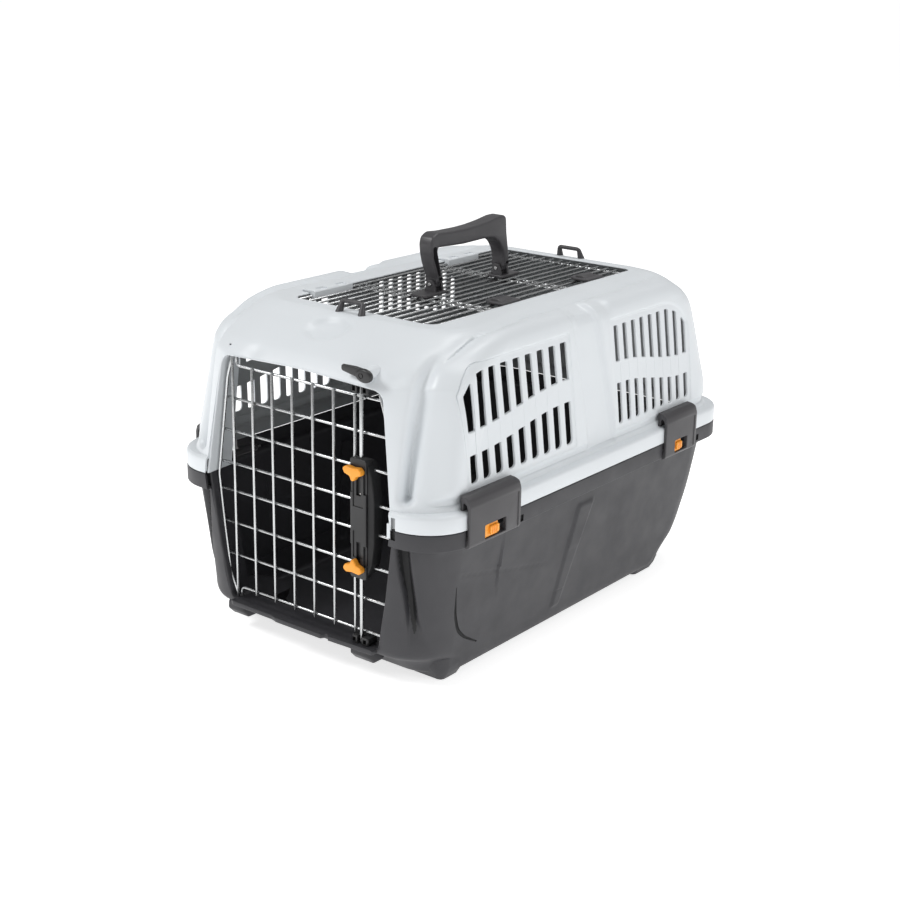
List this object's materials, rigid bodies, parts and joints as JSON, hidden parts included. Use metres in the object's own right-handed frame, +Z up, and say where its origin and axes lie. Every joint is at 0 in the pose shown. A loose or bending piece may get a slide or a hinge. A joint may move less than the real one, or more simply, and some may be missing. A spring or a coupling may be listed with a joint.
{
  "type": "pet transport carrier",
  "caption": "Two-shell plastic pet carrier with a hinged wire front door, sliding rod lock, wire roof hatch with folding carry handle, side clips and vent slots.",
  "frame": {"origin": "on the ground under the middle of the carrier's bounding box", "axes": "+Z up; the door faces -Y; +X is the side that carries the door lock"},
  "size_m": [0.3752, 0.55, 0.417],
  "materials": {
    "bottom_shell": "dark grey injection-moulded polypropylene, fine texture outside",
    "top_shell": "very pale grey injection-moulded polypropylene, slight gloss",
    "dark_plastic": "dark grey moulded plastic, satin",
    "lock_body": "black moulded plastic, satin",
    "orange_plastic": "warm orange moulded plastic, slight gloss",
    "wire": "bright plated steel wire",
    "spring_steel": "plain steel pins and springs"
  },
  "bodies": {
    "carrier": {"bottom_shell": "bottom_shell", "top_shell": "top_shell", "rod_keeper_upper": "lock_body", "rod_keeper_lower": "lock_body", "safety_toggle_pin": "spring_steel", "roof_hinge_front": "top_shell", "roof_hinge_rear": "top_shell", "strap_loop_front": "dark_plastic", "strap_loop_rear": "dark_plastic", "clip_pin_front_right": "spring_steel", "clip_pin_front_left": "spring_steel", "clip_pin_rear_right": "spring_steel", "clip_pin_rear_left": "spring_steel"},
    "front_door": {"front_door_grille": "wire", "lock_housing_front": "lock_body", "lock_housing_back": "lock_body", "lock_spring_upper": "spring_steel", "lock_spring_lower": "spring_steel"},
    "lock_bolt_upper": {"lock_rod_upper": "wire", "lock_knob_upper": "orange_plastic"},
    "lock_bolt_lower": {"lock_rod_lower": "wire", "lock_knob_lower": "orange_plastic"},
    "toggle": {"safety_toggle": "lock_body"},
    "roof_hatch": {"roof_grille": "wire", "handle_bracket_front": "dark_plastic", "handle_bracket_rear": "dark_plastic", "handle_clamp_front": "dark_plastic", "handle_clamp_rear": "dark_plastic", "handle_pin_front": "spring_steel", "handle_pin_rear": "spring_steel"},
    "hatch_latch_front": {"roof_latch_front": "dark_plastic"},
    "hatch_latch_rear": {"roof_latch_rear": "dark_plastic"},
    "handle": {"carry_handle": "dark_plastic"},
    "clip_front_right": {"side_clip_front_right": "dark_plastic"},
    "clip_slide_front_right": {"clip_lock_front_right": "orange_plastic"},
    "clip_front_left": {"side_clip_front_left": "dark_plastic"},
    "clip_slide_front_left": {"clip_lock_front_left": "orange_plastic"},
    "clip_rear_right": {"side_clip_rear_right": "dark_plastic"},
    "clip_slide_rear_right": {"clip_lock_rear_right": "orange_plastic"},
    "clip_rear_left": {"side_clip_rear_left": "dark_plastic"},
    "clip_slide_rear_left": {"clip_lock_rear_left": "orange_plastic"}
  },
  "joints": [
    {"name": "door_hinge", "type": "hinge", "parent": "carrier", "child": "front_door", "pos_m": [-0.098, -0.2583, 0.17], "axis": [0, 0, -1], "range_deg": [0, 110]},
    {"name": "lock_upper_slide", "type": "slide", "parent": "front_door", "child": "lock_bolt_upper", "axis": [0, 0, -1], "range_m": [0, 0.012], "stiffness_N_per_m": 300, "springref_m": -0.01, "deforming": ["lock_spring_upper"]},
    {"name": "lock_lower_slide", "type": "slide", "parent": "front_door", "child": "lock_bolt_lower", "axis": [0, 0, 1], "range_m": [0, 0.012], "stiffness_N_per_m": 300, "springref_m": -0.01, "deforming": ["lock_spring_lower"]},
    {"name": "safety_toggle_turn", "type": "hinge", "parent": "carrier", "child": "toggle", "pos_m": [0.089, -0.272, 0.318], "axis": [0, -1, 0], "range_deg": [0, 90]},
    {"name": "roof_hatch_hinge", "type": "hinge", "parent": "carrier", "child": "roof_hatch", "pos_m": [-0.0896, 0, 0.3454], "axis": [0, -1, 0], "range_deg": [0, 95]},
    {"name": "hatch_latch_front_slide", "type": "slide", "parent": "roof_hatch", "child": "hatch_latch_front", "axis": [-1, 0, 0], "range_m": [0, 0.005], "stiffness_N_per_m": 300, "springref_m": -0.006},
    {"name": "hatch_latch_rear_slide", "type": "slide", "parent": "roof_hatch", "child": "hatch_latch_rear", "axis": [-1, 0, 0], "range_m": [0, 0.005], "stiffness_N_per_m": 300, "springref_m": -0.006},
    {"name": "handle_fold", "type": "hinge", "parent": "roof_hatch", "child": "handle", "pos_m": [0, 0, 0.3575], "axis": [0, 1, 0], "range_deg": [-65, 65]},
    {"name": "clip_front_right_hinge", "type": "hinge", "parent": "carrier", "child": "clip_front_right", "pos_m": [0.1785, -0.189, 0.16], "axis": [0, 1, 0], "range_deg": [0, 95]},
    {"name": "clip_lock_front_right_slide", "type": "slide", "parent": "clip_front_right", "child": "clip_slide_front_right", "axis": [0, 1, 0], "range_m": [0, 0.01]},
    {"name": "clip_front_left_hinge", "type": "hinge", "parent": "carrier", "child": "clip_front_left", "pos_m": [-0.1785, -0.189, 0.16], "axis": [0, -1, 0], "range_deg": [0, 95]},
    {"name": "clip_lock_front_left_slide", "type": "slide", "parent": "clip_front_left", "child": "clip_slide_front_left", "axis": [0, 1, 0], "range_m": [0, 0.01]},
    {"name": "clip_rear_right_hinge", "type": "hinge", "parent": "carrier", "child": "clip_rear_right", "pos_m": [0.1785, 0.1585, 0.16], "axis": [0, 1, 0], "range_deg": [0, 95]},
    {"name": "clip_lock_rear_right_slide", "type": "slide", "parent": "clip_rear_right", "child": "clip_slide_rear_right", "axis": [0, 1, 0], "range_m": [0, 0.01]},
    {"name": "clip_rear_left_hinge", "type": "hinge", "parent": "carrier", "child": "clip_rear_left", "pos_m": [-0.1785, 0.1585, 0.16], "axis": [0, -1, 0], "range_deg": [0, 95]},
    {"name": "clip_lock_rear_left_slide", "type": "slide", "parent": "clip_rear_left", "child": "clip_slide_rear_left", "axis": [0, 1, 0], "range_m": [0, 0.01]}
  ]
}
